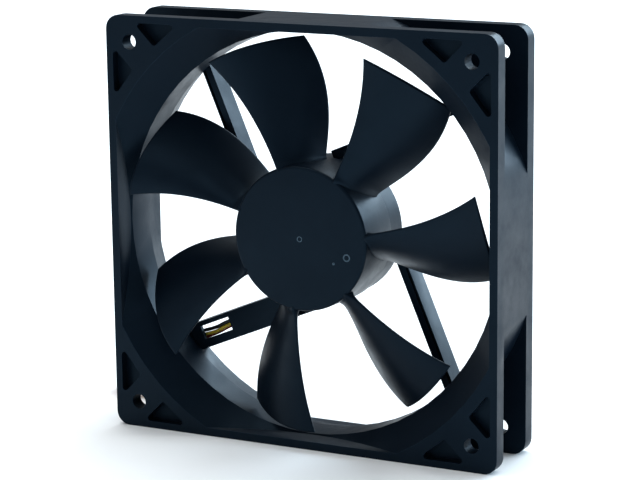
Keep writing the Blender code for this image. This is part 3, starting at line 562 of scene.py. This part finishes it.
def label_film(name):
    """Pale film label with a thin printed ring and two thin lines, no words."""
    made, tree, shader, where = finish_nodes(name)
    split = tree.nodes.new("ShaderNodeSeparateXYZ")
    tree.links.new(where, split.inputs["Vector"])

    def maths(kind, a, b=None):
        step = tree.nodes.new("ShaderNodeMath")
        step.operation = kind
        for socket, value in zip(step.inputs, (a, b)):
            if value is None:
                continue
            if isinstance(value, (int, float)):
                socket.default_value = value
            else:
                tree.links.new(value, socket)
        return step.outputs["Value"]

    x, z = split.outputs["X"], split.outputs["Z"]
    radius = maths("SQRT", maths("ADD", maths("MULTIPLY", x, x), maths("MULTIPLY", z, z)))
    ring_radius, ring_half_width = 16.6 * MM, 0.25 * MM
    line_half_length, line_height, line_half_width = 11 * MM, 6 * MM, 0.2 * MM
    from_ring = maths("ABSOLUTE", maths("SUBTRACT", radius, ring_radius))
    ring = maths("LESS_THAN", from_ring, ring_half_width)
    wide = maths("LESS_THAN", maths("ABSOLUTE", x), line_half_length)
    from_line = maths("ABSOLUTE", maths("SUBTRACT", maths("ABSOLUTE", z), line_height))
    bars = maths("LESS_THAN", from_line, line_half_width)
    print_mask = maths("MAXIMUM", ring, maths("MULTIPLY", wide, bars))
    tree.links.new(blend_colours(tree, print_mask, (0.52, 0.54, 0.57), (0.06, 0.07, 0.09)),
                   shader.inputs["Base Color"])
    wrinkles = noise(tree, where, 300, 3)
    tree.links.new(spread(tree, wrinkles, 0.32, 0.48), shader.inputs["Roughness"])
    bumped(tree, shader, wrinkles, 0.12, 0.1 * MM)
    return made


# Colour, paler colour and roughness of each moulded or coated finish, then where it
# differs its specular level and that reflection's tint
BLUE_SHEEN = (0.42, 0.72, 1.0)
MOULDED = {
    "frame_plastic": ((0.0017, 0.0042, 0.0085), (0.0028, 0.0060, 0.0115), 0.42, 0.14, BLUE_SHEEN),
    # frame_edges is a paler copy of the frame's plastic for the eased edges: a painted highlight, not a
    # colour of the plastic.
    "frame_edges": ((0.0080, 0.0170, 0.0310), (0.0150, 0.0300, 0.0520), 0.36, 0.30, BLUE_SHEEN),
    "impeller_plastic": ((0.0020, 0.0045, 0.0090), (0.0030, 0.0064, 0.0118), 0.40, 0.14, BLUE_SHEEN),
    "hub_marks": ((0.0300, 0.0500, 0.0700), (0.0600, 0.0900, 0.1150), 0.32, 0.5, BLUE_SHEEN),
    "ferrite": ((0.014, 0.014, 0.015), (0.022, 0.022, 0.023), 0.66),
    "cage_plastic": ((0.40, 0.28, 0.14), (0.46, 0.34, 0.18), 0.45),
    "insulator_plastic": ((0.012, 0.012, 0.012), (0.02, 0.02, 0.02), 0.45),
    "board": ((0.012, 0.085, 0.035), (0.02, 0.12, 0.05), 0.28),
    "chip_black": ((0.012, 0.012, 0.013), (0.02, 0.02, 0.022), 0.5),
    "wire_black": ((0.010, 0.010, 0.011), (0.016, 0.016, 0.018), 0.34),
    "wire_yellow": ((0.55, 0.40, 0.03), (0.64, 0.48, 0.05), 0.34),
    "wire_red": ((0.38, 0.02, 0.015), (0.46, 0.03, 0.02), 0.34),
    "tie_black": ((0.010, 0.010, 0.010), (0.018, 0.018, 0.018), 0.42),
    "plug_white": ((0.62, 0.60, 0.54), (0.70, 0.68, 0.62), 0.4),
}
# Colour and roughness of each metal
METALS = {
    "zinc_steel": ((0.55, 0.56, 0.58), 0.38),
    "bearing_steel": ((0.62, 0.62, 0.64), 0.2),
    "brass": ((0.72, 0.53, 0.24), 0.3),
    "lamination": ((0.30, 0.31, 0.33), 0.45),
    "copper": ((0.72, 0.30, 0.13), 0.3),
    "can_metal": ((0.68, 0.69, 0.71), 0.32),
    "tin": ((0.66, 0.66, 0.68), 0.28),
}


def all_finishes():
    made = {name: moulded(name, *values) for name, values in MOULDED.items()}
    made.update({name: worked_metal(name, *values) for name, values in METALS.items()})
    made["label_paper"] = label_film("label_paper")
    return made


def dress_packed_parts(finishes):
    """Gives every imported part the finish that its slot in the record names."""
    for part in frame["record"]["subparts"]:
        node = NODES[part["node"]]
        slot = part["material_slot"]
        finish = finishes.get(slot, finishes["wire_black"])
        node.data.materials.clear()
        node.data.materials.append(finish)


# ---------------------------------------------------------------- camera, floor and light

def build_camera():
    """Camera to the right of the fan and a little above it, looking at its intake."""
    position = Vector((0.3002, -0.5851, 0.1400))
    tilt, swing, roll = math.radians(13.67), math.radians(26.44), math.radians(5.51)
    turn = Matrix.Rotation(roll, 3, "Z") @ Matrix.Rotation(swing, 3, "Y") @ Matrix.Rotation(tilt, 3, "X")
    level = Matrix(((1, 0, 0), (0, 0, -1), (0, 1, 0)))
    right, down, forward = turn @ level
    axes = Matrix((right, -down, -forward)).transposed()
    data = bpy.data.cameras.new("camera")
    data.sensor_width = 36
    data.lens = 134.7
    data.clip_start = 0.01
    data.clip_end = 50
    camera = bpy.data.objects.new("camera", data)
    camera.matrix_world = Matrix.Translation(position) @ axes.to_4x4()
    bpy.context.scene.collection.objects.link(camera)
    bpy.context.scene.camera = camera


def area_light(name, position, target, size, power, colour=(1, 1, 1)):
    data = bpy.data.lights.new(name, "AREA")
    data.shape = "RECTANGLE"
    data.size, data.size_y = size
    data.energy = power
    data.color = colour
    made = bpy.data.objects.new(name, data)
    made.visible_camera = False
    made.location = position
    made.rotation_euler = (Vector(target) - Vector(position)).to_track_quat("-Z", "Y").to_euler()
    bpy.context.scene.collection.objects.link(made)


def build_studio():
    half = 6.0
    corners = [(-half, -half, FLOOR), (half, -half, FLOOR), (half, half, FLOOR), (-half, half, FLOOR)]
    floor = mesh_object("floor", corners, [(0, 1, 2, 3)], smooth=False)
    finish, tree, shader, where = finish_nodes("floor_paper")
    tone = blend_colours(tree, noise(tree, where, 3, 2), (0.90, 0.90, 0.91), (0.93, 0.93, 0.93))
    tree.links.new(tone, shader.inputs["Base Color"])
    shader.inputs["Roughness"].default_value = 0.9
    shader.inputs["Specular IOR Level"].default_value = 0.1
    floor.data.materials.append(finish)

    world = bpy.data.worlds.new("studio")
    world.use_nodes = True
    sky = world.node_tree.nodes["Background"]
    sky.inputs["Color"].default_value = (0.93, 0.97, 1.0, 1)
    sky.inputs["Strength"].default_value = 0.27
    bpy.context.scene.world = world
    bpy.context.scene.view_settings.view_transform = "Standard"
    middle = (0, 0, 0)
    area_light("overhead", (-0.2, 0.5, 1.7), middle, (2.2, 2.0), 54, (0.93, 0.98, 1))
    area_light("back_panel", (0.9, 1.7, 0.75), middle, (2.6, 1.0), 74, (0.66, 0.85, 1.0))
    area_light("right_side", (1.5, 0.35, 0.35), middle, (0.8, 1.0), 7, (0.62, 0.82, 1.0))
    area_light("front_fill", (-0.6, -1.6, 1.2), middle, (1.0, 0.6), 3.5, (0.9, 0.95, 1.0))


# ---------------------------------------------------------------- the whole scene

def main():
    finishes = all_finishes()
    build_camera()
    dress_packed_parts(finishes)
    wire_finishes = [finishes["wire_black"], finishes["wire_yellow"], finishes["wire_red"]]
    build_channel_wires(wire_finishes)
    build_lead(wire_finishes)
    build_impeller(finishes["impeller_plastic"])
    build_hub_marks(finishes["hub_marks"])
    build_frame_shell(finishes["frame_plastic"], finishes["frame_edges"])
    build_studio()


main()
